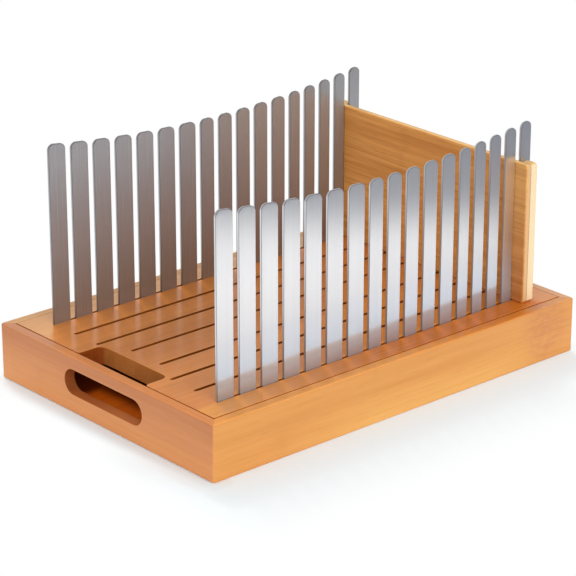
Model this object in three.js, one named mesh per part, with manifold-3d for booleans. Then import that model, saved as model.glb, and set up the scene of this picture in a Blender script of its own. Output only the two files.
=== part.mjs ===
// Bread slicer guide: a crumb tray of four mitred rails, a lift-out top board with two rows of
// steel slats, and a stop board with two end cleats. Millimetres, +Z up, the hand hole's end at -X.
import * as THREE from "three";
import { mergeVertices } from "three/addons/utils/BufferGeometryUtils.js";
import Module from "manifold-3d";

// Tray
const trayLength = 360;
const trayWidth = 248;
const trayHeight = 44;
const railThickness = 12.5;
const rimWidth = 9;
const edgeEase = 1.5;
const cornerRadius = 2;

// Floor panel and the groove that holds it
const floorThickness = 5;
const floorUnderside = 4;
const floorGrooveDepth = 5;

// Hand hole in each end rail
const handHoleLength = 91;
const handHoleHeight = 23;
const handHoleCentreHeight = 24.8;

// Top board
const boardThickness = 12;
const seamClearance = 0.5;
const cutoutWidth = 77;
const cutoutDepth = 20;
const cutoutCornerRadius = 6;
const crumbSlotWidth = 3;
const crumbSlotEndMargin = 18.5;
const crumbSlotCutoutGap = 10;
// Each slot's distance from the middle, as a share of the inner half spacing of the rows
const crumbSlotShares = [0.176, 0.46, 0.743];

// Slats: how many of each width stand in a row, and each width as a share of the widest
const slatThickness = 2;
const slatBands = [
  { count: 7, widthShare: 1 },
  { count: 5, widthShare: 0.844 },
  { count: 5, widthShare: 0.701 },
];
const knifeGap = 5.1;
const rowSideInset = 30.5;
const rowFrontInset = 27.4;
const rowRearInset = 24.2;
const slatSocketDepth = 8;
const slatLowestHeight = 130;
const slatArcRise = 11.4;
const slatTopRadius = 4.8;

// Stop board
const stopEndReach = 13.5;
const stopHeight = 111;
const stopFaceThickness = 4.4;
const stopCleatThickness = 7;
const stopCleatClearance = 0.5;
const stopSideClearance = 0.3;
const stopEdgeEase = 2;

// Shared by every cut and every curve
const cutOverrun = 2;
const curveSteps = 6;
// Handle length of a curve that rounds a corner, as a share of the corner's radius
const roundingShare = 0.5523;

const bamboo = { color: 0xd0935c, roughness: 0.55, metalness: 0 };
const boardBamboo = { color: 0xca8a55, roughness: 0.55, metalness: 0 };
const stopBamboo = { color: 0xc78d5a, roughness: 0.6, metalness: 0 };
const cleatBamboo = { color: 0xe6bb88, roughness: 0.6, metalness: 0 };
const floorPly = { color: 0xb5783f, roughness: 0.7, metalness: 0 };
const steel = { color: 0xd2d2d6, roughness: 0.35, metalness: 1 };

const halfLength = trayLength / 2;
const halfWidth = trayWidth / 2;
const boardTop = trayHeight;
const boardBottom = trayHeight - boardThickness;
const boardFront = -halfLength + rimWidth + seamClearance;
const rowInner = halfWidth - rowSideInset;
const rowOuter = rowInner + slatThickness;
const rowStart = -halfLength + rowFrontInset;
const rowEnd = halfLength - rowRearInset;
const slatWidthShares = slatBands.flatMap((band) => Array(band.count).fill(band.widthShare));
const slatShareSum = slatWidthShares.reduce((sum, share) => sum + share, 0);
const gapSum = knifeGap * (slatWidthShares.length - 1);
const widestSlat = (rowEnd - rowStart - gapSum) / slatShareSum;

const wasm = await Module();
wasm.setup();

const group = new THREE.Group();
group.name = "bread_slicer_guide";

// A three.js geometry as a solid that can be cut
function solidOf(geometry) {
  const bare = new THREE.BufferGeometry();
  bare.setAttribute("position", geometry.getAttribute("position"));
  if (geometry.index) bare.setIndex(geometry.index);
  const merged = mergeVertices(bare);
  const vertProperties = merged.getAttribute("position").array;
  const triVerts = new Uint32Array(merged.index.array);
  return new wasm.Manifold(new wasm.Mesh({ numProp: 3, vertProperties, triVerts }));
}

// A solid as a named mesh in the group
function place(name, solid, look) {
  const made = solid.getMesh();
  const stride = made.numProp;
  const position = new Float32Array(made.numVert * 3);
  for (let i = 0; i < made.numVert; i++) {
    const start = i * stride;
    position.set(made.vertProperties.subarray(start, start + 3), i * 3);
  }
  const geometry = new THREE.BufferGeometry();
  geometry.setAttribute("position", new THREE.BufferAttribute(position, 3));
  geometry.setIndex(new THREE.BufferAttribute(made.triVerts, 1));
  geometry.computeVertexNormals();
  const mesh = new THREE.Mesh(geometry, new THREE.MeshStandardMaterial(look));
  mesh.name = name;
  group.add(mesh);
}

// An outline in X and Y pulled up from one height to another
function risingPrism(outline, low, high) {
  const settings = { depth: high - low, bevelEnabled: false, curveSegments: curveSteps };
  const geometry = new THREE.ExtrudeGeometry(outline, settings);
  geometry.translate(0, 0, low);
  return solidOf(geometry);
}

// An outline in X and Z pulled along Y from one side to the other
function crossPrism(outline, nearY, farY) {
  const settings = { depth: farY - nearY, bevelEnabled: false, curveSegments: curveSteps };
  const geometry = new THREE.ExtrudeGeometry(outline, settings);
  geometry.rotateX(Math.PI / 2);
  geometry.translate(0, farY, 0);
  return solidOf(geometry);
}

function rectangle(x0, y0, x1, y1) {
  const outline = new THREE.Shape();
  outline.moveTo(x0, y0);
  outline.lineTo(x1, y0);
  outline.lineTo(x1, y1);
  outline.lineTo(x0, y1);
  outline.closePath();
  return outline;
}

// A round-ended slot along the first axis
function stadium(centreX, centreY, length, width) {
  const radius = width / 2;
  const reach = length / 2 - radius;
  const outline = new THREE.Shape();
  outline.absarc(centreX + reach, centreY, radius, -Math.PI / 2, Math.PI / 2, false);
  outline.absarc(centreX - reach, centreY, radius, Math.PI / 2, -Math.PI / 2, false);
  outline.closePath();
  return outline;
}

// Rounds the corner of a path: from a point before it to a point after it
function roundCorner(path, before, corner, after) {
  const leave = before.clone().lerp(corner, roundingShare);
  const arrive = after.clone().lerp(corner, roundingShare);
  path.lineTo(before.x, before.y);
  path.bezierCurveTo(leave.x, leave.y, arrive.x, arrive.y, after.x, after.y);
}

// The rails' shared section: distance in from the outer face, and height.
// It has eased outer edges, a groove for the floor and a rebate for the top board.
function railSection() {
  const point = (inward, height) => new THREE.Vector2(inward, height);
  const grooveBack = railThickness - floorGrooveDepth;
  const floorTop = floorUnderside + floorThickness;
  const path = new THREE.Path();
  path.moveTo(edgeEase, 0);
  path.lineTo(railThickness, 0);
  path.lineTo(railThickness, floorUnderside);
  path.lineTo(grooveBack, floorUnderside);
  path.lineTo(grooveBack, floorTop);
  path.lineTo(railThickness, floorTop);
  path.lineTo(railThickness, boardBottom);
  path.lineTo(rimWidth, boardBottom);
  path.lineTo(rimWidth, trayHeight);
  roundCorner(path, point(edgeEase, trayHeight), point(0, trayHeight), point(0, trayHeight - edgeEase));
  roundCorner(path, point(0, edgeEase), point(0, 0), point(edgeEase, 0));
  return path.getPoints(curveSteps).slice(0, -1);
}

// A rail along X with 45 degree ends, its outer face at the given distance towards -Y
function mitredRail(runLength, outerDistance) {
  const section = railSection();
  const count = section.length;
  const near = section.map((p) => [p.x - runLength / 2, p.x - outerDistance, p.y]);
  const far = section.map((p) => [runLength / 2 - p.x, p.x - outerDistance, p.y]);
  const index = [];
  for (const [a, b, c] of THREE.ShapeUtils.triangulateShape(section, [])) {
    index.push(count + a, count + b, count + c, a, c, b);
  }
  for (let i = 0; i < count; i++) {
    const j = (i + 1) % count;
    index.push(i, j, count + j, i, count + j, count + i);
  }
  const geometry = new THREE.BufferGeometry();
  const flat = near.concat(far).flat();
  geometry.setAttribute("position", new THREE.Float32BufferAttribute(flat, 3));
  geometry.setIndex(index);
  return geometry;
}

// The tray's plan with rounded corners, which rounds the mitred corners
function trayEnvelope() {
  const right = halfLength - cornerRadius;
  const back = halfWidth - cornerRadius;
  const outline = new THREE.Shape();
  outline.absarc(right, back, cornerRadius, 0, Math.PI / 2, false);
  outline.absarc(-right, back, cornerRadius, Math.PI / 2, Math.PI, false);
  outline.absarc(-right, -back, cornerRadius, Math.PI, Math.PI * 1.5, false);
  outline.absarc(right, -back, cornerRadius, Math.PI * 1.5, Math.PI * 2, false);
  return risingPrism(outline, -cutOverrun, trayHeight + cutOverrun);
}

// A rail turned to its side of the tray
function turnedRail(runLength, outerDistance, quarterTurns) {
  const geometry = mitredRail(runLength, outerDistance);
  geometry.rotateZ((quarterTurns * Math.PI) / 2);
  return solidOf(geometry).intersect(trayEnvelope());
}

// The hand hole, through one end rail
function handHole(side) {
  const outline = stadium(0, handHoleCentreHeight, handHoleLength, handHoleHeight);
  const depth = railThickness + cutOverrun * 2;
  const settings = { depth, bevelEnabled: false, curveSegments: curveSteps * 2 };
  const geometry = new THREE.ExtrudeGeometry(outline, settings);
  geometry.rotateX(Math.PI / 2);
  geometry.rotateZ(Math.PI / 2);
  const outer = halfLength + cutOverrun;
  geometry.translate(side > 0 ? outer - depth : -outer, 0, 0);
  return solidOf(geometry);
}

function addRails() {
  const front = turnedRail(trayWidth, halfLength, -1).subtract(handHole(-1));
  const rear = turnedRail(trayWidth, halfLength, 1).subtract(handHole(1));
  place("rail_front", front, bamboo);
  place("rail_rear", rear, bamboo);
  place("rail_near", turnedRail(trayLength, halfWidth, 0), bamboo);
  place("rail_far", turnedRail(trayLength, halfWidth, 2), bamboo);
}

function addFloor() {
  const inset = railThickness - floorGrooveDepth;
  const x = halfLength - inset;
  const y = halfWidth - inset;
  const floorTop = floorUnderside + floorThickness;
  place("floor_panel", risingPrism(rectangle(-x, -y, x, y), floorUnderside, floorTop), floorPly);
}

// Where each slat starts and ends along the row
function slatSpans() {
  let start = rowStart;
  return slatWidthShares.map((share) => {
    const span = { start, end: start + share * widestSlat };
    start = span.end + knifeGap;
    return span;
  });
}

// Height of the slat tops, a shallow arc that is lowest halfway along the row
function slatTop(x) {
  const reach = (rowEnd - rowStart) / 2;
  const fromMiddle = x - (rowStart + rowEnd) / 2;
  const radius = (reach ** 2 + slatArcRise ** 2) / (2 * slatArcRise);
  return boardTop + slatLowestHeight + radius - Math.sqrt(radius ** 2 - fromMiddle ** 2);
}

// One slat's outline in X and Z, its top cut along the arc and its corners rounded
function slatOutline(span) {
  const foot = boardTop - slatSocketDepth;
  const point = (x, z) => new THREE.Vector2(x, z);
  const radius = Math.min(slatTopRadius, (span.end - span.start) / 2);
  const right = span.end;
  const left = span.start;
  const outline = new THREE.Shape();
  outline.moveTo(left, foot);
  outline.lineTo(right, foot);
  const rightCorner = point(right, slatTop(right));
  const afterRight = point(right - radius, slatTop(right - radius));
  roundCorner(outline, point(right, rightCorner.y - radius), rightCorner, afterRight);
  const leftCorner = point(left, slatTop(left));
  const beforeLeft = point(left + radius, slatTop(left + radius));
  roundCorner(outline, beforeLeft, leftCorner, point(left, leftCorner.y - radius));
  outline.closePath();
  return outline;
}

function addSlats(spans) {
  spans.forEach((span, i) => {
    const number = String(i + 1).padStart(2, "0");
    const outline = slatOutline(span);
    place("slat_near_" + number, crossPrism(outline, -rowOuter, -rowInner), steel);
    place("slat_far_" + number, crossPrism(outline, rowInner, rowOuter), steel);
  });
}

// The finger cut-out in the board's front edge, rounded at its two inner corners
function fingerCutout() {
  const back = boardFront + cutoutDepth;
  const half = cutoutWidth / 2;
  const radius = cutoutCornerRadius;
  const point = (x, y) => new THREE.Vector2(x, y);
  const outline = new THREE.Shape();
  outline.moveTo(boardFront - cutOverrun, -half);
  roundCorner(outline, point(back - radius, -half), point(back, -half), point(back, radius - half));
  roundCorner(outline, point(back, half - radius), point(back, half), point(back - radius, half));
  outline.lineTo(boardFront - cutOverrun, half);
  outline.closePath();
  return risingPrism(outline, boardBottom - cutOverrun, boardTop + cutOverrun);
}

// A crumb slot, which starts behind the finger cut-out where it would run into it
function crumbSlot(y) {
  const behindCutout = Math.abs(y) - crumbSlotWidth / 2 < cutoutWidth / 2;
  const start = boardFront + (behindCutout ? cutoutDepth + crumbSlotCutoutGap : crumbSlotEndMargin);
  const end = -boardFront - crumbSlotEndMargin;
  const outline = stadium((start + end) / 2, y, end - start, crumbSlotWidth);
  return risingPrism(outline, boardBottom - cutOverrun, boardTop + cutOverrun);
}

function addBoard() {
  const x = -boardFront;
  const y = halfWidth - rimWidth - seamClearance;
  const grooveFloor = boardTop - slatSocketDepth;
  let board = risingPrism(rectangle(-x, -y, x, y), boardBottom, boardTop).subtract(fingerCutout());
  for (const side of [-1, 1]) {
    for (const share of crumbSlotShares) {
      board = board.subtract(crumbSlot(side * share * rowInner));
    }
    const grooveNear = side > 0 ? rowInner : -rowOuter;
    const groove = rectangle(rowStart, grooveNear, rowEnd, grooveNear + slatThickness);
    board = board.subtract(risingPrism(groove, grooveFloor, boardTop + cutOverrun));
  }
  place("top_board", board, boardBamboo);
}

// The face or a cleat in X and Z, with its top edge eased on the side away from the glue
function stopLayer(inside, outside) {
  const top = boardTop + stopHeight;
  const inward = Math.sign(inside - outside);
  const point = (x, z) => new THREE.Vector2(x, z);
  const outline = new THREE.Shape();
  outline.moveTo(inside, boardTop);
  outline.lineTo(inside, top);
  const before = point(outside + inward * stopEdgeEase, top);
  roundCorner(outline, before, point(outside, top), point(outside, top - stopEdgeEase));
  outline.lineTo(outside, boardTop);
  outline.closePath();
  return outline;
}

// The face passes between the last two slats. A cleat behind each end stands clear of the rows.
function addStop(spans) {
  const gapStart = spans[spans.length - 2].end;
  const front = gapStart + stopSideClearance;
  const glue = front + stopFaceThickness;
  const outsideRows = rowOuter + stopCleatClearance;
  const stopHalfLength = rowOuter + stopEndReach;
  const face = stopLayer(glue, front);
  const cleat = stopLayer(glue, glue + stopCleatThickness);
  place("stop_face", crossPrism(face, -stopHalfLength, stopHalfLength), stopBamboo);
  place("stop_end_near", crossPrism(cleat, -stopHalfLength, -outsideRows), cleatBamboo);
  place("stop_end_far", crossPrism(cleat, outsideRows, stopHalfLength), cleatBamboo);
}

const spans = slatSpans();
addRails();
addFloor();
addBoard();
addSlats(spans);
addStop(spans);

export default group;
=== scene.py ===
import math

import bmesh
import bpy
from mathutils import Matrix, Vector


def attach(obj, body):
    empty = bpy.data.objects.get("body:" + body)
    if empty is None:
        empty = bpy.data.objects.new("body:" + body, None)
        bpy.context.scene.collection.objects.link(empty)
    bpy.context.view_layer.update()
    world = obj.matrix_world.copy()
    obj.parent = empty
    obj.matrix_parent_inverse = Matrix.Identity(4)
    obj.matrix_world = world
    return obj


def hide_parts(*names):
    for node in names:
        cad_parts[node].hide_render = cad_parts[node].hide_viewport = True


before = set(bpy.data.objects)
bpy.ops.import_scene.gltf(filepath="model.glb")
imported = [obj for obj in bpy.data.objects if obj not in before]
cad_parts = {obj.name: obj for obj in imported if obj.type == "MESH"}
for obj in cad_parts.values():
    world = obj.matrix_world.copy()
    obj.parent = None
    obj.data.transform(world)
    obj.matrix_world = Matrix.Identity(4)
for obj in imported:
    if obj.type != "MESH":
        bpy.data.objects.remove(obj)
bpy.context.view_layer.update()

# Camera
# A long lens stands off the near front corner, a little above the slats, as for a catalogue view.
# Its place and angles come from fitting the tray's corners, seams and slat edges.
lens_pixels, frame_pixels, sensor_width = 2557.55, 576, 36.0
camera_place = Vector((-1.19074, -1.34494, 0.76363))
camera_angles = (48.5485, 21.3403, 0.0631)


def aim(yaw, pitch, roll):
    """The camera's turn: yaw from +X towards +Y, pitch down, roll about the view."""
    ahead = Vector((math.cos(pitch) * math.cos(yaw), math.cos(pitch) * math.sin(yaw), -math.sin(pitch)))
    level = Vector((math.sin(yaw), -math.cos(yaw), 0))
    upright = level.cross(ahead)
    right = level * math.cos(roll) + upright * math.sin(roll)
    up = upright * math.cos(roll) - level * math.sin(roll)
    return Matrix((right, up, -ahead)).transposed()


camera = bpy.data.objects.new("camera", bpy.data.cameras.new("camera"))
bpy.context.scene.collection.objects.link(camera)
camera.data.sensor_width = sensor_width
camera.data.lens = sensor_width * lens_pixels / frame_pixels
camera.data.clip_start = 0.1
camera.data.clip_end = 50
camera.matrix_world = Matrix.Translation(camera_place) @ aim(*map(math.radians, camera_angles)).to_4x4()
bpy.context.scene.camera = camera
bpy.context.scene.view_settings.view_transform = "Standard"

# Floor, surroundings and light
# A white sweep of paper under soft light from all round, a broad lamp on the near side, a weaker one at the
# front and two high up behind. The steel mirrors no lamp, but a shade on the paper that the camera doesn't see.
floor_half_size = 6.0
white = (1, 1, 1, 1)
floor_white = (0.885, 0.90, 0.92, 1)
paper_seen = (0.82, 0.895, 0.93, 1)
paper_mirrored = (0.965, 0.98, 1.0, 1)
shade_tone = (0.14, 0.153, 0.19, 1)
shade_bearing, shade_start, shade_end = (0.62, -0.78), 0.415, 0.525
surround_strength = 0.62
# Each lamp's name, strength, spread in degrees and the way to it
lamps = (
    ("near_lamp", 2.5, 50, (-0.12, -0.95, 0.27)),
    ("front_lamp", 0.7, 60, (-0.90, -0.15, 0.45)),
    ("rear_lamp", 0.75, 28, (0.36, 0.93, 1.0)),
    ("rear_spot", 0.30, 5, (0.36, 0.93, 1.0)),
)
# Where the camera sees the object's shadow: a strip's middle, half sizes and fade, and how white it stays
shadow_strips = (
    ((-0.012, -0.118), (0.190, 0.018), (0.020, 0.090), 0.25),
    ((-0.177, -0.005), (0.007, 0.125), (0.016, 0.012), 0.05),
)


def node_of(tree, kind, inputs=None, **settings):
    """A new node with its settings, and its inputs either linked or set."""
    made = tree.nodes.new(kind)
    for name, value in settings.items():
        setattr(made, name, value)
    for key, value in (inputs or {}).items():
        if isinstance(value, bpy.types.NodeSocket):
            tree.links.new(value, made.inputs[key])
        else:
            made.inputs[key].default_value = value
    return made


def add(tree, kind, inputs=None, **settings):
    """Adds a node and gives its first output."""
    return node_of(tree, kind, inputs, **settings).outputs[0]


def sum_of(operation):
    """The function that adds one kind of sum to the tree that its values come from."""
    def result(first, second=0.0, third=0.0):
        tree = (first if isinstance(first, bpy.types.NodeSocket) else second).id_data
        return add(tree, "ShaderNodeMath", {0: first, 1: second, 2: third}, operation=operation)
    return result


times, times_plus = sum_of("MULTIPLY"), sum_of("MULTIPLY_ADD")
smaller, larger = sum_of("MINIMUM"), sum_of("MAXIMUM")


def vector_of(operation, first, second=(0, 0, 0)):
    """The result of one sum of places, which may be a length."""
    made = node_of(first.id_data, "ShaderNodeVectorMath", {0: first, 1: second}, operation=operation)
    return made.outputs["Value" if operation == "LENGTH" else "Vector"]


def axes_of(place):
    return node_of(place.id_data, "ShaderNodeSeparateXYZ", {0: place}).outputs


def between(value, low=0.0, high=1.0, first=0.0, last=1.0, curve="LINEAR"):
    """How far a value is from low to high, told as a number from first to last."""
    inputs = {0: value, 1: low, 2: high, 3: first, 4: last}
    return add(value.id_data, "ShaderNodeMapRange", inputs, interpolation_type=curve)


def blend_of(tree, factor, first, second, way="MIX"):
    """One colour mixed over another."""
    inputs = {0: factor, 6: first, 7: second}
    return node_of(tree, "ShaderNodeMix", inputs, data_type="RGBA", blend_type=way).outputs[2]


def empty_tree(owner):
    """A new material or world, and its node tree with nothing in it."""
    owner.use_nodes = True
    owner.node_tree.nodes.clear()
    return owner, owner.node_tree


def link_object(name, data):
    made = bpy.data.objects.new(name, data)
    bpy.context.scene.collection.objects.link(made)
    return made


def outside_strip(place, strip):
    """White away from a shadow strip, fading to how white the strip stays."""
    middle, half, fade, share = strip
    away = vector_of("ABSOLUTE", vector_of("SUBTRACT", place, (*middle, 0)))
    away = vector_of("MAXIMUM", vector_of("SUBTRACT", away, (*half, 0)))
    away = vector_of("MULTIPLY", away, (1 / fade[0], 1 / fade[1], 0))
    return between(vector_of("LENGTH", away), first=share, curve="SMOOTHSTEP")


def paper_sweep():
    """White paper: plain to the camera but for the shadows, and shaded in what the steel mirrors."""
    material, tree = empty_tree(bpy.data.materials.new("paper_sweep"))
    place = node_of(tree, "ShaderNodeNewGeometry").outputs["Position"]
    spot = axes_of(place)
    ray = node_of(tree, "ShaderNodeLightPath").outputs
    distance = times_plus(spot[0], shade_bearing[0], times(spot[1], shade_bearing[1]))
    mirrored = blend_of(tree, between(distance, shade_start, shade_end), paper_mirrored, shade_tone)
    colour = blend_of(tree, ray["Is Glossy Ray"], floor_white, mirrored)
    colour = blend_of(tree, ray["Is Camera Ray"], colour, paper_seen)
    paper = add(tree, "ShaderNodeBsdfDiffuse", {"Color": colour})
    bright = add(tree, "ShaderNodeEmission", {"Color": white, "Strength": 1.0})
    beside, before = (outside_strip(place, strip) for strip in shadow_strips)
    seen = times(ray["Is Camera Ray"], smaller(beside, before))
    mixed = add(tree, "ShaderNodeMixShader", {0: seen, 1: paper, 2: bright})
    node_of(tree, "ShaderNodeOutputMaterial", {"Surface": mixed})
    return material


def white_surround():
    """Even light from all round, seen as pure white."""
    world, tree = empty_tree(bpy.data.worlds.new("surround"))
    ray = node_of(tree, "ShaderNodeLightPath").outputs
    seen = larger(ray["Is Camera Ray"], ray["Is Transmission Ray"])
    light, plain = (
        add(tree, "ShaderNodeBackground", {"Color": white, "Strength": strength})
        for strength in (surround_strength, 1.0)
    )
    mixed = add(tree, "ShaderNodeMixShader", {0: seen, 1: light, 2: plain})
    node_of(tree, "ShaderNodeOutputWorld", {"Surface": mixed})
    return world


bpy.context.scene.world = white_surround()
for name, strength, spread, towards in lamps:
    lamp = link_object(name, bpy.data.lights.new(name, "SUN"))
    lamp.data.energy = strength
    lamp.data.angle = math.radians(spread)
    lamp.rotation_euler = Vector(towards).to_track_quat("Z", "Y").to_euler()
    lamp.visible_glossy = False
paper = bpy.data.meshes.new("floor")
corners = [(x * floor_half_size, y * floor_half_size, 0) for x, y in ((-1, -1), (1, -1), (1, 1), (-1, 1))]
paper.from_pydata(corners, [], [(0, 1, 2, 3)])
paper.materials.append(paper_sweep())
link_object("floor", paper)

# Crumb floor
# A thin bamboo ply panel that catches the crumbs. It slides into the grooves of the four rails
# before the last corner is glued. Painted shade darkens it everywhere but below the finger cut-out,
# standing in for the shade under the board; there, where light reaches it, it keeps its own colour.
ply_pale = (0.80, 0.175, 0.005, 1)
ply_deep = (0.62, 0.110, 0.004, 1)
ply_strip, painted_under_board_shade = 0.05, (0.22, 0.14, 0.25, 1)
painted_shade_edges = ((-0.159, -0.145), (0.034, 0.046))
# Waves per metre along and across the fibres, and what each pattern counts for in the colour
fibre_waves, streak_waves, cloud_waves, bundle_waves = (16, 620), (4.5, 150), (7, 20), (60, 1300)
speckle_waves = 900
fibre_share, streak_share, cloud_share, colour_spread = 0.35, 0.4, 0.25, 0.16
strip_step, strip_tones = 7.31, (0.94, 1.06)
bundle_edges, bundle_depth, bundle_tone = (0.60, 0.72), 0.30, 0.55
knuckle_pitch, knuckle_wave, knuckle_edges, knuckle_tone = 0.31, 0.012, (0.0065, 0.0125), 0.6
speckle_edges, speckle_tones = (0.35, 0.65), (0.90, 1.04)
shine_edges, shine_swing, coat_dullness = (0.3, 0.7), 0.06, 0.17
bundle_sink, grain_strength, grain_depth = -0.6, 0.12, 0.0004
size_of, over = sum_of("ABSOLUTE"), sum_of("DIVIDE")


def noise_of(tree, place, stretch, seed, detail=2.0):
    """Noise drawn out by its stretch, in waves per metre."""
    scaled = vector_of("MULTIPLY", place, stretch)
    inputs = {"Vector": scaled, "W": seed, "Scale": 1.0, "Detail": detail, "Roughness": 0.55}
    return add(tree, "ShaderNodeTexNoise", inputs, noise_dimensions="4D")


def object_place(tree):
    return node_of(tree, "ShaderNodeTexCoord").outputs["Object"]


def object_axes(tree):
    return axes_of(object_place(tree))


def facing_axes(tree):
    return axes_of(node_of(tree, "ShaderNodeNewGeometry").outputs["True Normal"])


def faces_along(tree, axis, low=0.6, high=0.8):
    """1 on the faces that point along an axis, either way, and 0 on the others."""
    return between(size_of(facing_axes(tree)[axis]), low, high)


def shaded(tree, colour, shade):
    return blend_of(tree, 1.0, colour, shade, "MULTIPLY")


def grey_of(tone):
    return add(tone.id_data, "ShaderNodeCombineXYZ", {0: tone, 1: tone, 2: tone})


def darker(colour, share):
    return tuple(share * part for part in colour[:3]) + (1,)


def bamboo(name, pale, deep, seed, turned=False, strip=0.022, upright=False, contrast=1.0, fineness=1.0,
           dullness=0.42, specular=0.4, coat=0.0, knuckles=0.22, end_grain=None):
    """Oiled bamboo with its fibres along X, or along Y if turned, laid up from strips side by side.
    Where the fibres are cut across, the faces may show a paler end grain."""
    material, tree = empty_tree(bpy.data.materials.new(name))
    place = object_place(tree)
    if turned:
        place = add(tree, "ShaderNodeMapping", {"Vector": place, "Rotation": (0, 0, math.pi / 2)})
    axes = axes_of(place)
    strip_number = sum_of("FLOOR")(over(axes[2] if upright else axes[1], strip))
    strip_seed = times_plus(strip_number, strip_step, seed)
    strip_tone = add(tree, "ShaderNodeTexWhiteNoise", {"W": strip_seed}, noise_dimensions="1D")

    def pattern(waves, seed, detail, finer=1.0):
        return noise_of(tree, place, (waves[0], waves[1] * finer, waves[1] * finer), seed, detail)

    fibres = pattern(fibre_waves, strip_seed, 3.0, fineness)
    streaks = pattern(streak_waves, strip_seed, 2.0, fineness)
    clouds = pattern(cloud_waves, seed, 2.0)
    bundles = pattern(bundle_waves, strip_seed, 1.0)
    mixed = times_plus(streaks, streak_share, times(fibres, fibre_share))
    mixed = times_plus(clouds, cloud_share, mixed)
    spread = colour_spread / contrast
    wood = blend_of(tree, between(mixed, 0.5 - spread, 0.5 + spread), deep, pale)
    dash = between(bundles, *bundle_edges, 0.0, bundle_depth * contrast)
    wood = blend_of(tree, dash, wood, darker(deep, bundle_tone))
    wood = shaded(tree, wood, grey_of(between(strip_tone, 0.0, 1.0, *strip_tones)))

    # A knuckle of the cane crosses each strip every so often
    knuckle_at = times_plus(strip_tone, knuckle_pitch, axes[0])
    knuckle_at = sum_of("WRAP")(knuckle_at, -knuckle_pitch / 2, knuckle_pitch / 2)
    knuckle_at = times_plus(clouds, knuckle_wave, size_of(knuckle_at))
    near_knuckle = between(knuckle_at, *knuckle_edges, knuckles, 0.0)
    wood = blend_of(tree, near_knuckle, wood, darker(deep, knuckle_tone))

    if end_grain:
        dots = pattern((speckle_waves, speckle_waves), seed, 2.0)
        speckle = grey_of(between(dots, *speckle_edges, *speckle_tones))
        wood = blend_of(tree, faces_along(tree, 1 if turned else 0), wood, shaded(tree, end_grain, speckle))

    shine = between(fibres, *shine_edges, dullness + shine_swing, dullness - shine_swing)
    relief = times_plus(dash, bundle_sink, fibres)
    inputs = {"Height": relief, "Strength": grain_strength, "Distance": grain_depth}
    bump = add(tree, "ShaderNodeBump", inputs)
    inputs = {"Base Color": wood, "Roughness": shine, "Normal": bump, "Specular IOR Level": specular}
    inputs.update({"Coat Weight": coat, "Coat Roughness": coat_dullness})
    surface = add(tree, "ShaderNodeBsdfPrincipled", inputs)
    node_of(tree, "ShaderNodeOutputMaterial", {"Surface": surface})
    return material


def shade_where(material, share, shade):
    """Multiplies a material's colour by a shade, by a share that its own tree works out."""
    tree = material.node_tree
    coloured = [node.inputs["Base Color"] for node in tree.nodes if node.type == "BSDF_PRINCIPLED"]
    plain = coloured[0].links[0].from_socket
    mixed = blend_of(tree, share, plain, shaded(tree, plain, shade))
    for colour in coloured:
        tree.links.new(mixed, colour)


def axes_in(material):
    """The axes of the place that a material colours."""
    return object_axes(material.node_tree)


floor_ply = bamboo("crumb_floor_ply", ply_pale, ply_deep, 3.0, strip=ply_strip)
spot = axes_in(floor_ply)
beyond, beside = (
    between(along, *edges, curve="SMOOTHSTEP")
    for along, edges in zip((spot[0], size_of(spot[1])), painted_shade_edges)
)
# Painted shade under the board, all but the patch below the finger cut-out
shade_where(floor_ply, larger(beyond, beside), painted_under_board_shade)
# The CAD panel's shape is right, so it only gets its finish
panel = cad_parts["floor_panel"].data
panel.materials.clear()
panel.materials.append(floor_ply)

# Tray rails
# Four bamboo boards on edge, mitred and glued at the corners, then rounded over together. Inside, each has a
# rebate for the top board and a groove for the floor. The end rails have a hand hole, and are thinner behind it.
mm = 0.001
tray_length, tray_width, tray_height = 360 * mm, 248 * mm, 44 * mm
rail_thickness, end_rim, side_rim, board_thickness = 12.5 * mm, 7.5 * mm, 8.4 * mm, 13.9 * mm
floor_underside, floor_thickness, floor_groove = 4 * mm, 5 * mm, 5 * mm
envelope_sizes = {
    "Length": tray_length, "Width": tray_width, "Height": tray_height, "Corner Radius": 2 * mm, "Ease": 1.5 * mm,
}
hand_hole_length, hand_hole_height, hand_hole_centre = 90 * mm, 19.6 * mm, 24.4 * mm
hand_hole_ease, hand_hole_wall, relief_margin = 0.5 * mm, 9 * mm, 6 * mm
hole_end_steps, hole_lip_steps, corner_steps, ease_steps, hole_wall_limit = 12, 5, 32, 8, 0.98
spare, overrun, same_place = 1 * mm, 0.05 * mm, 1e-6
sharp_angle = math.radians(40)
rail_pale, rail_deep = (0.63, 0.292, 0.074, 1), (0.50, 0.194, 0.040, 1)
end_pale, end_deep = (0.622, 0.255, 0.085, 1), (0.50, 0.167, 0.049, 1)
# The hand hole's walls are unoiled, and darker by painted shade
hole_shaded_pale, hole_shaded_deep = (0.46, 0.130, 0.032, 1), (0.35, 0.088, 0.020, 1)
# The shades that colour is multiplied by, and where they go over into each other. All but the redder one are
# painted light, shade or sheen, standing in for how light falls on each face.
near_rim_painted_light, near_rim_rear_painted_shade = (1.41, 1.32, 1.20, 1), (1.19, 0.82, 0.35, 1)
near_rim_corner_painted_sheen = (1.18, 1.26, 1.88, 1)
near_rim_rear, near_rim_corner = (0, 95 * mm), (128 * mm, 148 * mm)
front_rim_painted_light, front_rim_far_painted_sheen = (1.12, 1.06, 0.92, 1), (0.97, 1.09, 1.56, 1)
front_rim_far = (45 * mm, 65 * mm)
far_rim_painted_sheen, rear_rim_painted_sheen = (1.12, 1.38, 2.44, 1), (1.13, 1.57, 2.50, 1)
near_low_painted_light, near_low = (1.13, 1.35, 1.50, 1), (26 * mm, 6 * mm)
near_middle, near_middle_reach = 30 * mm, (150 * mm, 60 * mm)
end_low_painted_light, end_high_painted_shade, end_levels = (1.20, 1.28, 1.22, 1), (0.84, 0.79, 0.78, 1), (6 * mm, 41 * mm)
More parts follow.
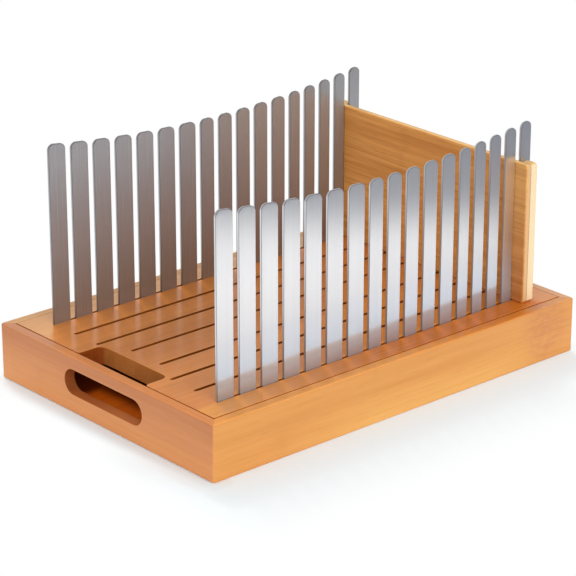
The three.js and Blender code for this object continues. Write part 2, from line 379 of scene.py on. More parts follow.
hole_far_painted_shade, hole_far = (0.60, 0.60, 0.64, 1), (35 * mm, 41 * mm)
hole_near_painted_light, hole_near = (1.28, 1.50, 1.90, 1), (20 * mm, -20 * mm)
plain_shade = (1, 1, 1, 1)
redder_shade, redder_place, redder_fade = (0.88, 0.80, 1.0, 1), (149 * mm, 0, 26 * mm), (29 * mm, 11.6 * mm)
redder_form, redder_waves, redder_edges, redder_least = (1, 0, 0.8), (150, 150, 330), (0.36, 0.60), 0.25
minus, is_above, sign_of = (sum_of(kind) for kind in ("SUBTRACT", "GREATER_THAN", "SIGN"))


def shape_tree(name, **inputs):
    """A new node tree with its inputs named under their kinds, and what it is then given."""
    tree = bpy.data.node_groups.new(name, "GeometryNodeTree")
    for kind, names in inputs.items():
        for named in names:
            tree.interface.new_socket(name=named, in_out="INPUT", socket_type="NodeSocket" + kind)
    tree.interface.new_socket(name="Shape", in_out="OUTPUT", socket_type="NodeSocketGeometry")
    return tree, node_of(tree, "NodeGroupInput").outputs


def point(tree, x=0.0, y=0.0, z=0.0):
    return add(tree, "ShaderNodeCombineXYZ", {0: x, 1: y, 2: z})


def choice_of(tree, second_chosen, first, second):
    return add(tree, "ShaderNodeMix", {0: second_chosen, 2: first, 3: second})


def moved(tree, shape, by=(0, 0, 0), turn=(0, 0, 0)):
    inputs = {"Geometry": shape, "Translation": by, "Rotation": turn}
    return add(tree, "GeometryNodeTransform", inputs)


def placed(tree, shape, x, y):
    """A curve with its points put at new places in their plane."""
    return add(tree, "GeometryNodeSetPosition", {"Geometry": shape, "Position": point(tree, x, y)})


def point_axes(tree):
    return axes_of(add(tree, "GeometryNodeInputPosition"))


def joined(tree, *shapes):
    made = node_of(tree, "GeometryNodeJoinGeometry")
    for shape in shapes:
        tree.links.new(shape, made.inputs[0])
    return made.outputs[0]


def unit_ring(tree, count):
    """A ring of points round the middle, none of them on an axis."""
    ring = add(tree, "GeometryNodeCurvePrimitiveCircle", {"Resolution": count, "Radius": 1.0})
    return moved(tree, ring, turn=(0, 0, math.pi / count))


def eased_plate():
    """Node group: fills an outline, holes and all, as a plate whose edges are eased front and back.
    The outline is the edge of the flat face; the wall stands outside it by the ease."""
    sizes = ("Thickness", "Ease", "Front Ease", "Back Ease")
    tree, given = shape_tree("eased_plate", Geometry=("Outline",), Float=sizes)
    half = over(given["Thickness"], 2.0)
    inputs = {"Resolution": ease_steps, "Radius": 1.0, "Start Angle": -math.pi / 2, "Sweep Angle": math.pi}
    arc = add(tree, "GeometryNodeCurveArc", inputs)
    unit = point_axes(tree)
    drop = minus(1.0, size_of(unit[1]))
    front = minus(half, times(drop, given["Front Ease"]))
    back = minus(times(drop, given["Back Ease"]), half)
    level = choice_of(tree, is_above(unit[1], 0.0), back, front)
    section = placed(tree, arc, times(unit[0], given["Ease"]), times(level, -1.0))
    path = add(tree, "GeometryNodeSetCurveNormal", {"Curve": given["Outline"]}, mode="Z_UP")
    wall = add(tree, "GeometryNodeCurveToMesh", {"Curve": path, "Profile Curve": section})
    cap = add(tree, "GeometryNodeFillCurve", {"Curve": given["Outline"]})
    face = moved(tree, cap, point(tree, z=half))
    rear = moved(tree, cap, point(tree, z=times(half, -1.0)))
    rear = add(tree, "GeometryNodeFlipFaces", {"Mesh": rear})
    inputs = {"Geometry": joined(tree, wall, face, rear), "Distance": same_place}
    node_of(tree, "NodeGroupOutput", {0: add(tree, "GeometryNodeMergeByDistance", inputs)})
    return tree


plate_nodes = eased_plate()


def plate_of(tree, outline, thickness, ease, front_ease, back_ease):
    inputs = {"Outline": outline, "Thickness": thickness, "Ease": ease}
    inputs.update({"Front Ease": front_ease, "Back Ease": back_ease})
    return add(tree, "GeometryNodeGroup", inputs, node_tree=plate_nodes)


def tray_envelope():
    """Node tree: the whole tray's outer form with rounded corners and eased edges."""
    tree, given = shape_tree("tray_envelope", Float=envelope_sizes)
    ring, unit, ease = unit_ring(tree, corner_steps), point_axes(tree), given["Ease"]
    bend = minus(given["Corner Radius"], ease)
    spots = []
    for axis, size in ((0, "Length"), (1, "Width")):
        core = minus(over(given[size], 2.0), given["Corner Radius"])
        spots.append(times_plus(unit[axis], bend, times(core, sign_of(unit[axis]))))
    plate = plate_of(tree, placed(tree, ring, *spots), given["Height"], ease, ease, ease)
    raised = moved(tree, plate, point(tree, z=over(given["Height"], 2.0)))
    node_of(tree, "NodeGroupOutput", {0: raised})
    return tree


envelope_nodes = tray_envelope()


def face_outwards(mesh):
    """Merges what the tree left side by side and turns every face outwards."""
    shape = bmesh.new()
    shape.from_mesh(mesh)
    bmesh.ops.remove_doubles(shape, verts=shape.verts, dist=same_place)
    bmesh.ops.recalc_face_normals(shape, faces=shape.faces)
    if shape.calc_volume(signed=True) < 0:
        bmesh.ops.reverse_faces(shape, faces=shape.faces)
    shape.to_mesh(mesh)
    shape.free()


def bake(piece):
    """Turns the piece and its modifiers into a plain mesh."""
    bpy.context.view_layer.update()
    mesh = bpy.data.meshes.new_from_object(piece.evaluated_get(bpy.context.evaluated_depsgraph_get()))
    piece.modifiers.clear()
    piece.data = mesh
    mesh.name = piece.name


def grow(name, tree, sizes):
    """Runs a tree with its named sizes and keeps the result as a plain mesh object."""
    made = link_object(name, bpy.data.meshes.new(name))
    modifier = made.modifiers.new("grow", "NODES")
    modifier.node_group = tree
    known = {item.name: item.identifier for item in tree.interface.items_tree if item.in_out == "INPUT"}
    for size, value in sizes.items():
        modifier[known[size]] = value
    bake(made)
    face_outwards(made.data)
    return made


def settle(piece):
    """Faces outwards, flat faces flat and eased edges smooth, all kept in the mesh."""
    face_outwards(piece.data)
    for face in piece.data.polygons:
        face.use_smooth = True
    piece.data.set_sharp_from_angle(angle=sharp_angle)
    piece.modifiers.new("even", "WEIGHTED_NORMAL").keep_sharp = True
    bake(piece)


def solid(name, corners, faces, material=None):
    """A closed mesh object from its corners and faces, its faces turned outwards."""
    mesh = bpy.data.meshes.new(name)
    mesh.from_pydata(corners, [], faces)
    if material:
        mesh.materials.append(material)
    face_outwards(mesh)
    return link_object(name, mesh)


def cut(piece, other, operation):
    """Boolean of two closed meshes; the second one is used up."""
    modifier = piece.modifiers.new("cut", "BOOLEAN")
    modifier.operation = operation
    modifier.solver = "EXACT"
    modifier.object = other
    bake(piece)
    bpy.data.objects.remove(other)


def rail(name, run, reach, quarter_turns, rim, material):
    """A mitred rail along X with its rebate and floor groove, turned to its side of the tray."""
    board_bottom, top = tray_height - board_thickness, tray_height + spare
    groove_back = rail_thickness - floor_groove
    floor_top = floor_underside + floor_thickness
    section = (
        (-spare, -spare), (rail_thickness, -spare), (rail_thickness, floor_underside),
        (groove_back, floor_underside), (groove_back, floor_top), (rail_thickness, floor_top),
        (rail_thickness, board_bottom), (rim, board_bottom), (rim, top), (-spare, top),
    )
    turn = Matrix.Rotation(quarter_turns * math.pi / 2, 4, "Z")
    ends = [turn @ Vector((side * (run / 2 - d), d - reach, z)) for side in (-1, 1) for d, z in section]
    count = len(section)
    faces = [(i, (i + 1) % count, count + (i + 1) % count, count + i) for i in range(count)]
    faces += [tuple(reversed(range(count))), tuple(range(count, 2 * count))]
    made = solid(name, ends, faces, material)
    cut(made, grow("envelope", envelope_nodes, envelope_sizes), "INTERSECT")
    return made


def hand_relief(side):
    """A cutter for the thinner place behind a hand hole, from the floor up to the rebate."""
    outer, inner = tray_length / 2 - hand_hole_wall - overrun, tray_length / 2 - rail_thickness - spare
    half = hand_hole_length / 2 + relief_margin
    low, high = floor_underside + floor_thickness - spare / 2, tray_height - board_thickness + spare / 2
    corners = [(side * x, y, z) for x in (inner, outer) for y in (-half, half) for z in (low, high)]
    faces = [(0, 1, 3, 2), (4, 6, 7, 5), (0, 4, 5, 1), (2, 3, 7, 6), (0, 2, 6, 4), (1, 5, 7, 3)]
    return solid("hand_relief", corners, faces)


def hand_hole(side):
    """A cutter with the hole's round ends and an eased lip at both faces of the thin place."""
    angles = [math.pi / 2 * step / hole_lip_steps for step in range(hole_lip_steps + 1)]
    lips = [(hand_hole_ease * (1 - math.sin(a)), hand_hole_ease * (1 - math.cos(a))) for a in angles]
    outer = tray_length / 2
    inner = outer - hand_hole_wall - overrun
    levels = [(outer + spare, hand_hole_ease)] + [(outer - depth, flare) for flare, depth in lips]
    levels += [(inner + depth, flare) for flare, depth in reversed(lips)] + [(inner - spare, hand_hole_ease)]
    core = (hand_hole_length - hand_hole_height) / 2
    corners, faces, ring = [], [], 2 * (hole_end_steps + 1)
    for x, flare in levels:
        radius = hand_hole_height / 2 + flare
        for end in (0, 1):
            for step in range(hole_end_steps + 1):
                angle = math.pi * (step / hole_end_steps - 0.5) + end * math.pi
                y = core * (1 - 2 * end) + radius * math.cos(angle)
                corners.append((side * x, y, hand_hole_centre + radius * math.sin(angle)))
    for low in range(0, (len(levels) - 1) * ring, ring):
        for k in range(ring):
            j = (k + 1) % ring
            faces.append((low + k, low + j, low + ring + j, low + ring + k))
    faces += [tuple(range(ring)), tuple(reversed(range(len(corners) - ring, len(corners))))]
    return solid("hand_hole", corners, faces)


def in_hand_hole(face):
    """Whether a rail's face is one of the hole's walls."""
    x, y, z = face.center
    beside = abs(y) < hand_hole_length / 2 + spare and abs(z - hand_hole_centre) < hand_hole_height / 2 + spare
    return beside and abs(face.normal.x) < hole_wall_limit


def finish_faces(piece, material, chosen):
    """Gives the faces that a test picks a finish of their own."""
    piece.data.materials.append(material)
    for face in piece.data.polygons:
        if chosen(face):
            face.material_index = len(piece.data.materials) - 1


def drift_of(along, ends, first, second):
    """A colour that goes over into another between two places along an axis."""
    return blend_of(along.id_data, between(along, *ends), first, second)


rail_grain = {"upright": True, "contrast": 0.62, "fineness": 1.3, "knuckles": 0.06}
raw = {"dullness": 0.65, "specular": 0.1}
oiled = dict(rail_grain, coat=0.4, dullness=0.55, specular=0.22)
near_bamboo = bamboo("rail_bamboo_near", rail_pale, rail_deep, 11.0, **oiled)
far_bamboo = bamboo("rail_bamboo_far", rail_pale, rail_deep, 17.0, **oiled)
front_bamboo = bamboo("rail_bamboo_front", end_pale, end_deep, 23.0, turned=True, **oiled)
rear_bamboo = bamboo("rail_bamboo_rear", end_pale, end_deep, 27.0, turned=True, **oiled)
hole_bamboo = bamboo("hand_hole_bamboo", hole_shaded_pale, hole_shaded_deep, 29.0, turned=True, **rail_grain, **raw)

# The near rail has a mottled, redder place near its rear end, whatever the depth
tree, spot = near_bamboo.node_tree, axes_in(near_bamboo)
away = vector_of("SUBTRACT", object_place(tree), redder_place)
away = vector_of("LENGTH", vector_of("MULTIPLY", away, redder_form))
inside = between(away, *redder_fade, curve="SMOOTHSTEP")
patches = between(noise_of(tree, object_place(tree), redder_waves, 4.0, 3.0), *redder_edges, redder_least)
shade_where(near_bamboo, times(inside, patches), redder_shade)
# Painted light on the near rim, going over into painted shade towards the rear and a painted sheen at the rear
# corner
rim_shade = drift_of(spot[0], near_rim_rear, near_rim_painted_light, near_rim_rear_painted_shade)
rim_shade = drift_of(spot[0], near_rim_corner, rim_shade, near_rim_corner_painted_sheen)
shade_where(near_bamboo, faces_along(tree, 2), rim_shade)
# Painted light low on the middle of the near face, standing in for light from the white floor
at_middle = between(size_of(minus(spot[0], near_middle)), *near_middle_reach)
low_shade = drift_of(spot[2], near_low, plain_shade, near_low_painted_light)
shade_where(near_bamboo, times(faces_along(tree, 1), at_middle), low_shade)
# Painted light on the front rim, with a painted sheen towards the far side
tree = front_bamboo.node_tree
rim_shade = drift_of(axes_in(front_bamboo)[1], front_rim_far, front_rim_painted_light, front_rim_far_painted_sheen)
shade_where(front_bamboo, faces_along(tree, 2), rim_shade)
# A painted sheen makes the far and rear rims paler
for material, shade in ((far_bamboo, far_rim_painted_sheen), (rear_bamboo, rear_rim_painted_sheen)):
    shade_where(material, faces_along(material.node_tree, 2), shade)
# Painted light low and painted shade high on the end rails' outer faces
for material in (front_bamboo, rear_bamboo):
    tree = material.node_tree
    end_shade = drift_of(object_axes(tree)[2], end_levels, end_low_painted_light, end_high_painted_shade)
    shade_where(material, faces_along(tree, 0), end_shade)
# Painted shade at the hand hole's far end and painted light at its near end
spot = axes_in(hole_bamboo)
hole_shade = drift_of(spot[1], hole_far, plain_shade, hole_far_painted_shade)
shade_where(hole_bamboo, 1.0, drift_of(spot[1], hole_near, hole_shade, hole_near_painted_light))

for node, run, reach, turns, hole, rim, material in (
    ("rail_front", tray_width, tray_length / 2, -1, -1, end_rim, front_bamboo),
    ("rail_rear", tray_width, tray_length / 2, 1, 1, end_rim, rear_bamboo),
    ("rail_near", tray_length, tray_width / 2, 0, 0, side_rim, near_bamboo),
    ("rail_far", tray_length, tray_width / 2, 2, 0, side_rim, far_bamboo),
):
    piece = rail(node + "_board", run, reach, turns, rim, material)
    if hole:
        cut(piece, hand_relief(hole), "DIFFERENCE")
        cut(piece, hand_hole(hole), "DIFFERENCE")
        finish_faces(piece, hole_bamboo, in_hand_hole)
    settle(piece)
    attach(piece, "tray")
    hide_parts(node)

# Top board
# A lacquered board, glued up from bamboo strips, lies loose in the rebate, pushed to the rear and the far side.
# It lifts out by the finger cut-out. Crumb slots are sawn through it, and blind grooves take the slats' feet.
seam, tight_seam, board_ease = 1.1 * mm, 0.15 * mm, 0.35 * mm
cutout_width, cutout_depth, cutout_corner, cutout_mouth = 77 * mm, 21.2 * mm, 6 * mm, 3 * mm
row_inner, row_start, row_end = 93.5 * mm, -152.6 * mm, 155.8 * mm
slat_thickness, slat_socket, groove_room = 2 * mm, 8 * mm, 0.4 * mm
slots_a_side, slot_end_steps, sawn_wall_limit = 3, 24, 0.6
board_sizes = {
    "Thickness": board_thickness, "Ease": board_ease, "Board Top": tray_height, "Slot Width": 3 * mm,
    "Slot Start": -151.7 * mm, "Middle Slot Start": -140.2 * mm, "Slot End": 151.7 * mm,
    "First Slot": 16.5 * mm, "Slot Pitch": 26.5 * mm, "Groove Start": row_start, "Groove End": row_end,
    "Groove Inner": row_inner, "Groove Width": slat_thickness + groove_room, "Groove Depth": slat_socket,
}
board_x, board_y = tray_length / 2 - end_rim - seam, tray_width / 2 - side_rim - seam
board_pale, board_deep = (0.76, 0.265, 0.038, 1), (0.605, 0.178, 0.020, 1)
board_strip = 24 * mm
slot_wall_painted_shade, board_edge_painted_shade, edge_band = (0.45, 0.36, 0.28, 1), (0.58, 0.36, 0.19, 1), 1.5 * mm
cutout_wall_painted_shade, cutout_end_painted_shade = (0.54, 0.57, 0.92, 1), (0.34, 0.23, 0.24, 1)
cutout_band, cutout_end = 2 * mm, (33.5 * mm, 36.5 * mm)
# The near outermost strip is painted lighter at the front and darker towards the rear, painted light and shade,
# and its lacquer is worn dull towards the rear, with a painted sheen at its rear end; the far one is paler,
# as is the far rear corner, a painted sheen
near_strip_painted_light, near_strip_painted_shade = (1.04, 1.18, 0.84, 1), (0.84, 0.70, 0.48, 1)
near_corner_painted_sheen, far_strip_painted_sheen = (0.92, 1.02, 1.15, 1), (1.03, 1.38, 2.50, 1)
shade_and_wear_run, shade_and_wear_end, wear_depth = (-160 * mm, 20 * mm), (158 * mm, 150 * mm), -0.7
far_corner_slope, far_corner_edge = -1.14, (266 * mm, 270 * mm)
plus, is_below = sum_of("ADD"), sum_of("LESS_THAN")


def arc_points(centre, radius, start, sweep, steps=8):
    """Points along an arc, angles in quarter turns."""
    angles = [(start + sweep * k / steps) * math.pi / 2 for k in range(steps + 1)]
    return [(centre[0] + radius * math.cos(a), centre[1] + radius * math.sin(a)) for a in angles]


def board_outline():
    """The flat face's edge: the board with its finger cut-out, both drawn inside the eased edge."""
    x, y, shift = board_x - board_ease, board_y - board_ease, seam - tight_seam
    half = cutout_width / 2 + board_ease
    corner, mouth = cutout_corner + board_ease, cutout_mouth - board_ease
    inner = -x + cutout_depth - corner
    points = [(-x, -y), (x + shift, -y), (x + shift, y + shift), (-x, y + shift)]
    points += arc_points((-x + mouth, half + mouth), mouth, 2, 1)
    points += [(inner, half)] + arc_points((inner, half - corner), corner, 1, -1)[1:]
    points += arc_points((inner, corner - half), corner, 0, -1)
    points += arc_points((-x + mouth, -half - mouth), mouth, 1, 1)
    curve = bpy.data.curves.new("board_outline", "CURVE")
    spline = curve.splines.new("POLY")
    spline.points.add(len(points) - 1)
    for spot, (px, py) in zip(spline.points, points):
        spot.co = (px, py, 0, 1)
    spline.use_cyclic_u = True
    return link_object("board_outline", curve)


def rings_for(tree, ring, count, **values):
    """A ring for each number up to a count, and the values that each ring keeps for its number."""
    dots = add(tree, "GeometryNodeMeshLine", {"Count": count})
    for name, value in values.items():
        inputs = {"Geometry": dots, "Name": name, "Value": value}
        dots = add(tree, "GeometryNodeStoreNamedAttribute", inputs)
    rings = add(tree, "GeometryNodeInstanceOnPoints", {"Points": dots, "Instance": ring})
    rings = add(tree, "GeometryNodeRealizeInstances", {0: rings})
    return rings, *(add(tree, "GeometryNodeInputNamedAttribute", {"Name": name}) for name in values)


def middle_of(low, high):
    return over(plus(high, low), 2.0)


def finish_tree(tree, shape, *finishes):
    """Ends a tree: real geometry with its materials, each where it is chosen."""
    shape = add(tree, "GeometryNodeRealizeInstances", {0: shape})
    for material, chosen in finishes:
        inputs = {"Geometry": shape, "Selection": chosen, "Material": material}
        shape = add(tree, "GeometryNodeSetMaterial", inputs)
    node_of(tree, "NodeGroupOutput", {0: shape})
    return tree


def slotted_board():
    """Node tree: the board with crumb slots at an even pitch each side of the middle and two blind grooves."""
    tree, given = shape_tree("slotted_board", Object=("Outline",), Float=board_sizes, Material=("Finish",))
    inputs = {"Object": given["Outline"]}
    edge = node_of(tree, "GeometryNodeObjectInfo", inputs, transform_space="ORIGINAL").outputs["Geometry"]

    index = add(tree, "GeometryNodeInputIndex")
    order = sum_of("MODULO")(index, float(slots_a_side))
    side = minus(times(is_above(index, slots_a_side - 0.5), 2.0), 1.0)
    offset = times(side, times_plus(order, given["Slot Pitch"], given["First Slot"]))
    start = choice_of(tree, is_below(order, 0.5), given["Slot Start"], given["Middle Slot Start"])
    ring = add(tree, "GeometryNodeReverseCurve", {"Curve": unit_ring(tree, slot_end_steps)})
    rings, slot_y, slot_x = rings_for(tree, ring, 2 * slots_a_side, slot_y=offset, slot_x=start)
    unit, ease = point_axes(tree), given["Ease"]
    radius = over(given["Slot Width"], 2.0)
    flare = plus(radius, ease)
    low, high = plus(slot_x, radius), minus(given["Slot End"], radius)
    centre = choice_of(tree, is_above(unit[0], 0.0), low, high)
    slots = placed(tree, rings, times_plus(unit[0], flare, centre), times_plus(unit[1], flare, slot_y))
    plate = plate_of(tree, joined(tree, edge, slots), given["Thickness"], ease, ease, ease)
    middle = minus(given["Board Top"], over(given["Thickness"], 2.0))
    shape = moved(tree, plate, point(tree, z=middle))

    run = minus(given["Groove End"], given["Groove Start"])
    size = point(tree, run, given["Groove Width"], times(given["Groove Depth"], 2.0))
    cutter = add(tree, "GeometryNodeMeshCube", {"Size": size})
    along = middle_of(given["Groove Start"], given["Groove End"])
    beside = plus(given["Groove Inner"], over(given["Groove Width"], 2.0))
    boolean = node_of(tree, "GeometryNodeMeshBoolean", operation="DIFFERENCE", solver="EXACT")
    tree.links.new(shape, boolean.inputs[0])
    for sign in (-1.0, 1.0):
        spot = point(tree, along, times(beside, sign), given["Board Top"])
        tree.links.new(moved(tree, cutter, spot), boolean.inputs[1])
    return finish_tree(tree, boolean.outputs[0], (given["Finish"], True))


lay_up = {"strip": board_strip, "contrast": 0.8}
board_bamboo = bamboo("board_bamboo", board_pale, board_deep, 41.0, coat=1.0, knuckles=0.12, **lay_up)
sawn_bamboo = bamboo("sawn_bamboo", board_pale, board_deep, 43.0, **lay_up, **raw)
# The sawn walls are darkened by painted shade: those of the slots most, the board's own edge less, those of
# the cut-out least but more at its far end
tree, spot = sawn_bamboo.node_tree, axes_in(sawn_bamboo)
inside_x, inside_y = (
    is_below(size_of(spot[axis]), half - edge_band) for axis, half in ((0, board_x), (1, board_y))
)
in_cutout = is_below(spot[0], cutout_depth + cutout_band - board_x)
in_place = drift_of(spot[1], cutout_end, cutout_wall_painted_shade, cutout_end_painted_shade)
shade = blend_of(tree, in_cutout, slot_wall_painted_shade, in_place)
shade_where(sawn_bamboo, 1.0, blend_of(tree, times(inside_x, inside_y), board_edge_painted_shade, shade))
tree, spot = board_bamboo.node_tree, axes_in(board_bamboo)
# Painted light and shade along the near strip, with a painted sheen at its rear end
in_near_strip = is_below(spot[1], -4 * board_strip)
rearward, before_stop = (between(spot[0], *ends) for ends in (shade_and_wear_run, shade_and_wear_end))
strip_shade = blend_of(tree, rearward, near_strip_painted_light, near_strip_painted_shade)
strip_shade = blend_of(tree, before_stop, near_corner_painted_sheen, strip_shade)
shade_where(board_bamboo, in_near_strip, strip_shade)
worn = times(in_near_strip, times(rearward, before_stop))
lacquer = times_plus(worn, wear_depth, 1.0)
for surface in [node for node in tree.nodes if node.type == "BSDF_PRINCIPLED"]:
    tree.links.new(lacquer, surface.inputs["Coat Weight"])
# A painted sheen makes the far strip and the far rear corner paler
in_far_corner = between(times_plus(spot[0], far_corner_slope, spot[1]), *far_corner_edge)
shade_where(board_bamboo, larger(is_above(spot[1], 4 * board_strip), in_far_corner), far_strip_painted_sheen)

outline = board_outline()
board_parts = {"Outline": outline, "Finish": board_bamboo}
board = grow("slotted_top_board", slotted_board(), {**board_sizes, **board_parts})
bpy.data.objects.remove(outline)
finish_faces(board, sawn_bamboo, lambda face: abs(face.normal.z) < sawn_wall_limit)
settle(board)
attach(board, "board")
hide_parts("top_board")

# Slat rows
# Seventeen slats of brushed stainless strip stand in each groove, seven wide, five medium and five narrow.
# Their feet are pressed in, their tops rounded and cut to one long shallow arc. The inner faces are duller,
# and darker by painted shade.
slat_counts = {"Wide Slats": 7, "Medium Slats": 5, "Narrow Slats": 5}
slat_sizes = {
    "Wide Width": 15.402 * mm, "Medium Width": 12.999 * mm, "Narrow Width": 10.797 * mm, "Gap": 5.1 * mm,
    "Row Start": row_start, "Row End": row_end, "Foot": tray_height - slat_socket,
    "Lowest Top": tray_height + 130 * mm, "Arc Rise": 11.4 * mm, "Top Radius": 4.8 * mm,
    "Foot Radius": 0.9 * mm, "Ease": 0.4 * mm, "Thickness": slat_thickness,
}
foot_level, foot_reach, contact_shadow_top = 44 * mm, 60 * mm, 53 * mm
outer_foot_painted_shade, inner_foot_painted_shade = (0.73, 0.83, 0.94, 1), (0.88, 0.78, 0.68, 1)
foot_contact_painted_shadow, outer_low_painted_shade = (0.80, 0.72, 0.70, 1), (0.72, 0.72, 0.74, 1)
outer_low, outer_rearward = (125 * mm, 85 * mm), (-60 * mm, 120 * mm, 0.35, 0.6)
inner_low_painted_shade, inner_top_painted_light = (0.92, 0.92, 0.94, 1), (1.15, 1.20, 1.27, 1)
inner_levels, inner_rearward = (90 * mm, 170 * mm), (-60 * mm, 60 * mm)
slat_corner_steps, flat_limit, near_edge_limit, far_edge_limit = 48, 0.98, 0.2, -0.3
edge_line_painted_shade, corner_band = (0.40, 0.41, 0.44, 1), (0.3, 0.5)
brushing_waves, band_waves = (2600, 2600, 9), (420, 420, 5)
brushing_edges, brushing_swing, band_tones = (0.3, 0.7), 0.03, (0.96, 1.0)
brushing_strength, brushing_depth = 0.03, 0.0001


def brushed_steel(name, tone, foot_painted_shade, metal, foot_metal, polish, haze, foot_haze, top_haze):
    """Stainless strip brushed from foot to top: a polish seen through a share of haze, duller at the foot,
    where painted shade darkens it.
    """
    material, tree = empty_tree(bpy.data.materials.new(name))
    place = object_place(tree)
    brushing = noise_of(tree, place, brushing_waves, 5.0, 2.0)
    bands = noise_of(tree, place, band_waves, 9.0, 2.0)
    above = between(axes_of(place)[2], foot_level, foot_level + foot_reach, curve="SMOOTHSTEP")
    colour = shaded(tree, tone, grey_of(between(bands, *brushing_edges, *band_tones)))
    colour = shaded(tree, colour, blend_of(tree, above, foot_painted_shade, white))
    inputs = {"Height": brushing, "Strength": brushing_strength, "Distance": brushing_depth}
    inputs = {"Base Color": colour, "Normal": add(tree, "ShaderNodeBump", inputs)}
    inputs["Metallic"] = between(above, 0.0, 1.0, foot_metal, metal)
    layers = {0: between(above, 0.0, 1.0, foot_haze, top_haze)}
    for layer, dullness in ((1, polish), (2, haze)):
        swing = (dullness - brushing_swing, dullness + brushing_swing)
        inputs["Roughness"] = between(brushing, *brushing_edges, *swing)
        layers[layer] = add(tree, "ShaderNodeBsdfPrincipled", inputs)
    surface = add(tree, "ShaderNodeMixShader", layers)
    node_of(tree, "ShaderNodeOutputMaterial", {"Surface": surface})
    return material


def slat_row():
    """Node tree: a row of upright slats in three widths with one gap, their tops on an arc."""
    finishes = ("Finish", "Inner Finish", "Edge Finish")
    sizes = (*slat_sizes, "Middle Plane")
    tree, given = shape_tree("slat_row", Int=slat_counts, Float=sizes, Material=finishes)
    wide, row_start, row_end = given["Wide Slats"], given["Row Start"], given["Row End"]
    to_medium = plus(wide, given["Medium Slats"])
    index = add(tree, "GeometryNodeInputIndex")
    past_wide, past_medium = (is_above(index, minus(count, 0.5)) for count in (wide, to_medium))
    width = choice_of(tree, past_wide, given["Wide Width"], given["Medium Width"])
    width = choice_of(tree, past_medium, width, given["Narrow Width"])
    step = plus(width, given["Gap"])
    start = plus(row_start, node_of(tree, "GeometryNodeAccumulateField", {0: step}).outputs["Trailing"])
    count = plus(to_medium, given["Narrow Slats"])
    ring = unit_ring(tree, slat_corner_steps)
    rings, start, width = rings_for(tree, ring, count, slat_start=start, slat_width=width)

    unit, ease, rise = point_axes(tree), given["Ease"], given["Arc Rise"]
    half_width = over(width, 2.0)
    centre = plus(start, half_width)
    is_top, side = is_above(unit[1], 0.0), sign_of(unit[0])
    radius = choice_of(tree, is_top, given["Foot Radius"], given["Top Radius"])
    bend, core = minus(radius, ease), minus(half_width, radius)
    spot_x = times_plus(side, core, times_plus(unit[0], bend, centre))
    corner_x = times_plus(side, core, centre)
    middle, reach = middle_of(row_start, row_end), over(minus(row_end, row_start), 2.0)
    squares = times_plus(rise, rise, times(reach, reach))
    arc_radius = over(squares, times(rise, 2.0))
    away = minus(corner_x, middle)
    below = minus(times(arc_radius, arc_radius), times(away, away))
    arc_drop = minus(arc_radius, sum_of("SQRT")(below))
    top_centre = minus(plus(given["Lowest Top"], arc_drop), radius)
    level = choice_of(tree, is_top, plus(given["Foot"], radius), top_centre)
    outline = placed(tree, rings, spot_x, times_plus(unit[1], bend, level))
    plate = plate_of(tree, outline, given["Thickness"], ease, ease, ease)
    upright = moved(tree, plate, point(tree, y=given["Middle Plane"]), (math.pi / 2, 0, 0))
    facing = axes_of(add(tree, "GeometryNodeInputNormal"))[1]
    inward = times(facing, sign_of(given["Middle Plane"]))
    is_inner, is_edge = (
        add(tree, "FunctionNodeCompare", {0: value, 1: limit}, operation="LESS_THAN")
        for value, limit in ((inward, -flat_limit), (size_of(facing), flat_limit))
    )
    return finish_tree(tree, upright, *zip((given[name] for name in finishes), (True, is_inner, is_edge)))


slat_nodes = slat_row()
# After the tones: how metallic it is above and at the foot, how dull its polish and its haze are,
# and how much haze there is at the foot and above
outer_steel = brushed_steel("brushed_steel", (0.905, 0.895, 0.893, 1), outer_foot_painted_shade, 1.0, 0.76, 0.13, 0.5, 0.42, 0.45)
# The inner faces' darker tone is painted shade
inner_steel = brushed_steel("rubbed_steel", (0.435, 0.435, 0.44, 1), inner_foot_painted_shade, 0.7, 0.68, 0.25, 0.5, 0.4, 0.4)
near_edges = brushed_steel("cut_steel_near", (0.66, 0.66, 0.67, 1), outer_foot_painted_shade, 1.0, 0.98, 0.30, 0.5, 0.1, 0.12)
# The far row's edges are a darker copy of the near row's, by painted shade
far_edges = brushed_steel("cut_steel_far", (0.38, 0.38, 0.39, 1), inner_foot_painted_shade, 1.0, 0.98, 0.40, 0.5, 0.3, 0.32)
spot = axes_in(outer_steel)
# Painted shade low down on the rear slats' outer faces
low, rearward = between(spot[2], *outer_low), between(spot[0], *outer_rearward)
shade_where(outer_steel, times(low, rearward), outer_low_painted_shade)
# A painted contact shadow just above the foot
shade_where(outer_steel, between(spot[2], contact_shadow_top, foot_level), foot_contact_painted_shadow)
# Painted shade low on the inner faces and painted light at the tops of the front slats
spot = axes_in(inner_steel)
top_shade = drift_of(spot[0], inner_rearward, inner_top_painted_light, plain_shade)
shade_where(inner_steel, 1.0, drift_of(spot[2], inner_levels, inner_low_painted_shade, top_shade))
# A painted dark line of shade on the eased edge towards the camera, on the far row only on its front side
for material, limit in ((near_edges, near_edge_limit), (far_edges, far_edge_limit)):
    tree = material.node_tree
    towards_front = is_below(facing_axes(tree)[0], limit)
    shade_where(material, times(faces_along(tree, 1, *corner_band), towards_front), edge_line_painted_shade)
for row, sign, edges in (("near", -1, near_edges), ("far", 1, far_edges)):
    slats = grow("slat_row_" + row, slat_nodes, {
        **slat_counts, **slat_sizes, "Middle Plane": sign * (row_inner + slat_thickness / 2),
        "Finish": outer_steel, "Inner Finish": inner_steel, "Edge Finish": edges,
    })
    settle(slats)
    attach(slats, "board")
    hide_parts(*[f"slat_{row}_{number:02d}" for number in range(1, sum(slat_counts.values()) + 1)])

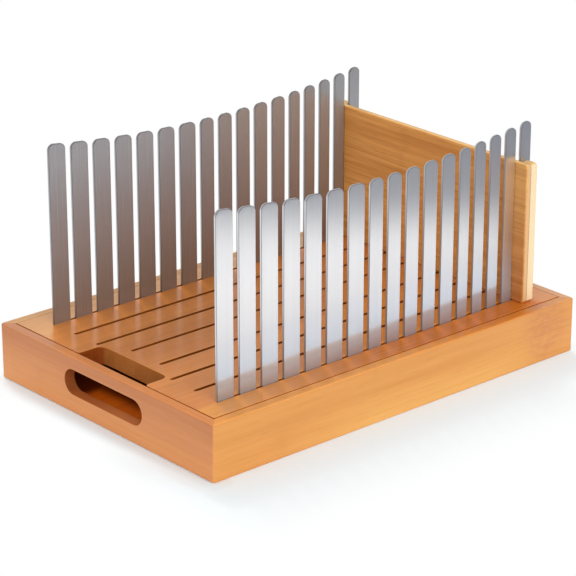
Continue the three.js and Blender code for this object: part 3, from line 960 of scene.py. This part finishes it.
# Stop board
# A thin bamboo board stands across both rows, between the last two slats of each, and lifts out.
# A cleat with paler end grain is glued behind each of its ends, outside the last slat.
stop_front, stop_glue, stop_rear = 140.2 * mm, 144.2 * mm, 151.6 * mm
stop_height, stop_half_length, cleat_room = 111 * mm, 107.7 * mm, 0.5 * mm
glue_line = 0.3 * mm
stop_sizes = {
    "Foot": tray_height, "Height": stop_height, "Glued Plane": stop_glue,
    "Corner Radius": 3.2 * mm, "Ease": 1.5 * mm,
}
stop_pale, stop_deep = (0.85, 0.405, 0.106, 1), (0.59, 0.233, 0.045, 1)
face_end_grain, cleat_end_grain = (0.58, 0.335, 0.152, 1), (0.73, 0.54, 0.325, 1)
stop_top_painted_highlight, glue_shade = (1.12, 1.45, 2.2, 1), (0.50, 0.50, 0.48, 1)
stop_end_foot_painted_shade, stop_end_top_painted_shade = (0.68, 0.55, 0.55, 1), (0.88, 0.96, 1.08, 1)


def stop_layer():
    """Node tree: an upright rounded plate, eased on the face that shows and square where it is glued."""
    sizes = (*stop_sizes, "From", "To", "Outer Plane")
    tree, given = shape_tree("stop_layer", Float=sizes, Material=("Finish",))
    ring, unit = unit_ring(tree, corner_steps), point_axes(tree)
    corner, ease, foot = given["Corner Radius"], given["Ease"], given["Foot"]
    bend = minus(corner, ease)
    spots = []
    for axis, low, high in ((0, given["From"], given["To"]), (1, foot, plus(foot, given["Height"]))):
        low, high = plus(low, corner), minus(high, corner)
        core = choice_of(tree, is_above(unit[axis], 0.0), low, high)
        spots.append(times_plus(unit[axis], bend, core))
    gap = minus(given["Outer Plane"], given["Glued Plane"])
    front_ease = times(ease, is_above(gap, 0.0))
    back_ease = minus(ease, front_ease)
    plate = plate_of(tree, placed(tree, ring, *spots), size_of(gap), ease, front_ease, back_ease)
    middle = point(tree, middle_of(given["Glued Plane"], given["Outer Plane"]))
    upright = moved(tree, plate, middle, (math.pi / 2, 0, math.pi / 2))
    return finish_tree(tree, upright, (given["Finish"], True))


stop_nodes = stop_layer()
stop_grain = {"turned": True, "upright": True, "strip": 0.019, "contrast": 1.4, "fineness": 1.7, "knuckles": 0.1}
face_bamboo = bamboo("stop_face_bamboo", stop_pale, stop_deep, 57.0, end_grain=face_end_grain, **stop_grain)
cleat_bamboo = bamboo("stop_cleat_bamboo", stop_pale, stop_deep, 63.0, end_grain=cleat_end_grain, **stop_grain)
for material in (face_bamboo, cleat_bamboo):
    tree = material.node_tree
    # A painted highlight makes the tops paler
    shade_where(material, faces_along(tree, 2), stop_top_painted_highlight)
    off_glue = size_of(minus(object_axes(tree)[0], stop_glue))
    shade_where(material, is_below(off_glue, glue_line), glue_shade)
# Painted shade on the face's ends beyond the rows, deepest at the foot
tree, spot = face_bamboo.node_tree, axes_in(face_bamboo)
past_rows = is_above(size_of(spot[1]), row_inner + slat_thickness)
end_shade = drift_of(spot[2], (tray_height, tray_height + stop_height), stop_end_foot_painted_shade, stop_end_top_painted_shade)
shade_where(face_bamboo, times(past_rows, faces_along(tree, 0)), end_shade)
outside_rows = row_inner + slat_thickness + cleat_room
for node, near_end, far_end, outer, finish in (
    ("stop_face", -stop_half_length, stop_half_length, stop_front, face_bamboo),
    ("stop_end_near", -stop_half_length, -outside_rows, stop_rear, cleat_bamboo),
    ("stop_end_far", outside_rows, stop_half_length, stop_rear, cleat_bamboo),
):
    ends = {"From": near_end, "To": far_end, "Outer Plane": outer, "Finish": finish}
    piece = grow(node + "_layer", stop_nodes, {**stop_sizes, **ends})
    settle(piece)
    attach(piece, "stop")
    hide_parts(node)
